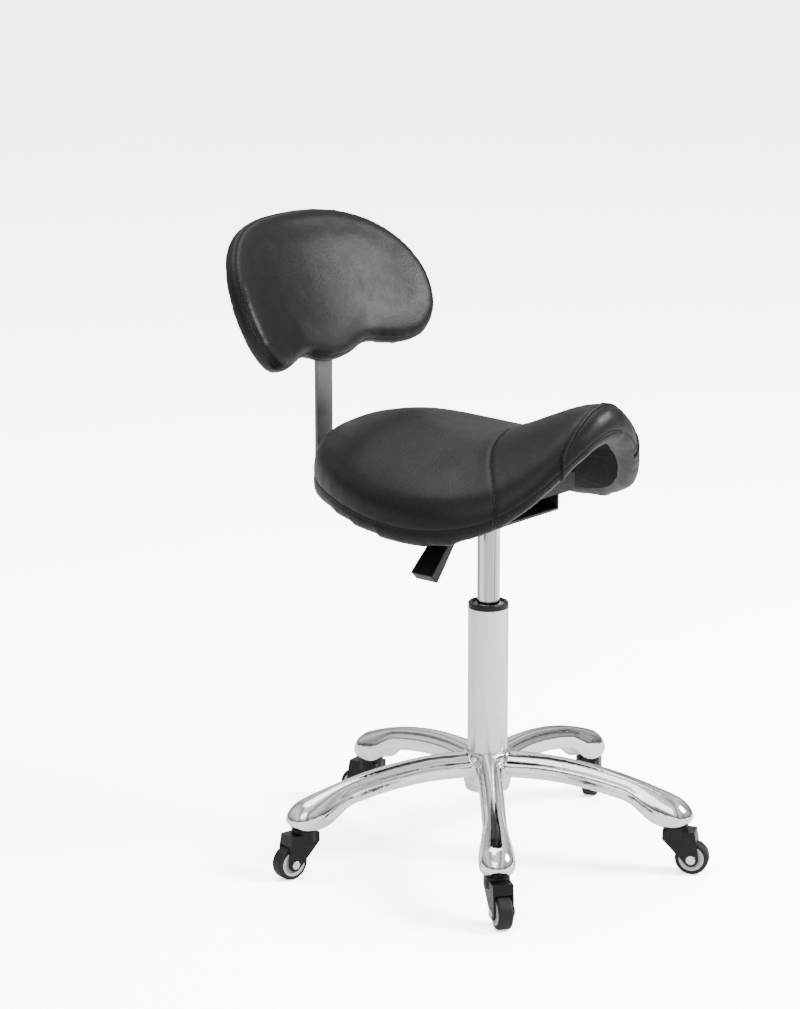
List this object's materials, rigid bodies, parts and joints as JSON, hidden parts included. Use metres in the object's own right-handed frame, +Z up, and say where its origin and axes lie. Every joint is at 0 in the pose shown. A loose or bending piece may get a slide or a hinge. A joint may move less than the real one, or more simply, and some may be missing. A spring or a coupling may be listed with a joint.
{
  "type": "dentist stool",
  "caption": "Saddle-seat dental stool with a contoured, wrapped backrest on a bent flat bar, a gas lift with side lever, and a polished star base on swivel casters.",
  "frame": {"origin": "on the floor, on the axis of the gas column", "axes": "+Z up along the column; the sitter faces -Y, so the backrest is on the +Y side; the sitter's right hand is on the -X side"},
  "size_m": [0.5285, 0.61, 0.7723],
  "materials": {
    "polished_aluminium": "die-cast, polished to a mirror",
    "chrome_column": "chromed tube, polished",
    "chrome_cylinder": "chromed gas spring cylinder",
    "black_plastic": "moulded, low gloss",
    "natural_plastic": "moulded, natural",
    "zinc_steel": "bright zinc plated",
    "bright_steel": "ground steel",
    "dark_steel": "blackened spring steel",
    "black_rubber": "moulded seal",
    "black_paint": "black powder coat",
    "stained_plywood": "moulded plywood, stained black",
    "plywood": "moulded plywood, unfinished",
    "black_leather": "soft semi-gloss black upholstery leather",
    "black_cloth": "thin woven backing cloth",
    "black_board": "textured back cover",
    "satin_steel": "satin finished flat bar",
    "caster_plastic": "moulded nylon, black",
    "axle_steel": "bright bolt",
    "grey_plastic": "moulded, light grey",
    "tyre_rubber": "soft black tread"
  },
  "bodies": {
    "base": {"base_star": "polished_aluminium", "column_tube": "chrome_column", "column_ring": "black_plastic", "guide_bush": "natural_plastic", "column_end_plate": "zinc_steel", "bearing_lower_race": "bright_steel", "bearing_balls": "bright_steel", "caster_stem_1": "zinc_steel", "caster_stem_2": "zinc_steel", "caster_stem_3": "zinc_steel", "caster_stem_4": "zinc_steel", "caster_stem_5": "zinc_steel"},
    "piston": {"piston_rod": "bright_steel", "piston_head": "zinc_steel", "bearing_upper_race": "bright_steel", "retaining_clip": "dark_steel"},
    "seat": {"gas_cylinder": "chrome_cylinder", "gas_seal": "black_rubber", "seat_plate": "black_paint", "plate_bolts": "zinc_steel", "plate_nuts": "zinc_steel", "seat_shell": "stained_plywood", "seat_cushion": "black_leather", "seat_dust_cover": "black_cloth", "bar_guide": "black_paint", "bar_guide_screws": "zinc_steel", "lever_pivot_pin": "bright_steel"},
    "lever": {"lever_arm": "zinc_steel", "lever_paddle": "black_plastic"},
    "valve": {"valve_pin": "bright_steel"},
    "back_bar": {"back_bar": "satin_steel"},
    "depth_knob": {"depth_knob": "black_plastic", "depth_knob_stud": "zinc_steel"},
    "backrest": {"backrest_board": "plywood", "backrest_cushion": "black_leather", "backrest_cover": "black_board", "height_bracket": "black_paint", "bracket_screws": "zinc_steel"},
    "height_knob": {"height_knob": "black_plastic", "height_knob_stud": "zinc_steel"},
    "caster_1": {"caster_fork_1": "caster_plastic", "caster_axle_1": "axle_steel"},
    "wheel_1": {"wheel_core_1": "grey_plastic", "wheel_tyre_1": "tyre_rubber"},
    "caster_2": {"caster_fork_2": "caster_plastic", "caster_axle_2": "axle_steel"},
    "wheel_2": {"wheel_core_2": "grey_plastic", "wheel_tyre_2": "tyre_rubber"},
    "caster_3": {"caster_fork_3": "caster_plastic", "caster_axle_3": "axle_steel"},
    "wheel_3": {"wheel_core_3": "grey_plastic", "wheel_tyre_3": "tyre_rubber"},
    "caster_4": {"caster_fork_4": "caster_plastic", "caster_axle_4": "axle_steel"},
    "wheel_4": {"wheel_core_4": "grey_plastic", "wheel_tyre_4": "tyre_rubber"},
    "caster_5": {"caster_fork_5": "caster_plastic", "caster_axle_5": "axle_steel"},
    "wheel_5": {"wheel_core_5": "grey_plastic", "wheel_tyre_5": "tyre_rubber"}
  },
  "joints": [
    {"name": "seat_swivel", "type": "hinge", "parent": "base", "child": "piston", "pos_m": [0, 0, 0.1], "axis": [0, 0, 1], "continuous": true},
    {"name": "seat_height", "type": "slide", "parent": "piston", "child": "seat", "axis": [0, 0, 1], "range_m": [-0.094, 0.01]},
    {"name": "lever_press", "type": "hinge", "parent": "seat", "child": "lever", "pos_m": [-0.03, 0, 0.454], "axis": [0, 1, 0], "range_deg": [0, 8], "stiffness_Nm_per_rad": 1.5, "springref_deg": -5.73},
    {"name": "valve_press", "type": "slide", "parent": "seat", "child": "valve", "axis": [0, 0, -1], "range_m": [0, 0.0047]},
    {"name": "back_depth", "type": "slide", "parent": "seat", "child": "back_bar", "axis": [0, 1, 0], "range_m": [-0.02, 0.025]},
    {"name": "depth_knob_turn", "type": "hinge", "parent": "seat", "child": "depth_knob", "pos_m": [0, 0.117, 0.43], "axis": [0, 0, -1], "range_deg": [0, 540]},
    {"name": "back_height", "type": "slide", "parent": "back_bar", "child": "backrest", "axis": [0, 0.4772, 0.8788], "range_m": [-0.025, 0.025]},
    {"name": "height_knob_turn", "type": "hinge", "parent": "backrest", "child": "height_knob", "pos_m": [0, 0.31699, 0.68499], "axis": [0, 0.8788, -0.4772], "range_deg": [0, 540]},
    {"name": "caster_swivel_1", "type": "hinge", "parent": "base", "child": "caster_1", "pos_m": [-0.17975, -0.15903, 0.053], "axis": [0, 0, 1], "continuous": true},
    {"name": "caster_spin_1", "type": "hinge", "parent": "caster_1", "child": "wheel_1", "pos_m": [-0.19179, -0.17623, 0.021], "axis": [-0.8192, 0.5736, 0], "continuous": true},
    {"name": "caster_swivel_2", "type": "hinge", "parent": "base", "child": "caster_2", "pos_m": [0.0957, -0.22009, 0.053], "axis": [0, 0, 1], "continuous": true},
    {"name": "caster_spin_2", "type": "hinge", "parent": "caster_2", "child": "wheel_2", "pos_m": [0.10556, -0.23864, 0.021], "axis": [-0.8829, -0.4695, 0], "continuous": true},
    {"name": "caster_swivel_3", "type": "hinge", "parent": "base", "child": "caster_3", "pos_m": [0.23889, 0.023, 0.053], "axis": [0, 0, 1], "continuous": true},
    {"name": "caster_spin_3", "type": "hinge", "parent": "caster_3", "child": "wheel_3", "pos_m": [0.25793, 0.03188, 0.021], "axis": [0.4226, -0.9063, 0], "continuous": true},
    {"name": "caster_swivel_4", "type": "hinge", "parent": "base", "child": "caster_4", "pos_m": [0.05195, 0.23431, 0.053], "axis": [0, 0, 1], "continuous": true},
    {"name": "caster_spin_4", "type": "hinge", "parent": "caster_4", "child": "wheel_4", "pos_m": [0.04902, 0.25511, 0.021], "axis": [0.9903, 0.1392, 0], "continuous": true},
    {"name": "caster_swivel_5", "type": "hinge", "parent": "base", "child": "caster_5", "pos_m": [-0.20679, 0.12181, 0.053], "axis": [0, 0, 1], "continuous": true},
    {"name": "caster_spin_5", "type": "hinge", "parent": "caster_5", "child": "wheel_5", "pos_m": [-0.22707, 0.12724, 0.021], "axis": [0.2588, 0.9659, 0], "continuous": true}
  ],
  "couplings": [
    {"joint": "valve_press", "follows": "lever_press", "m_per_rad": 0.033}
  ]
}
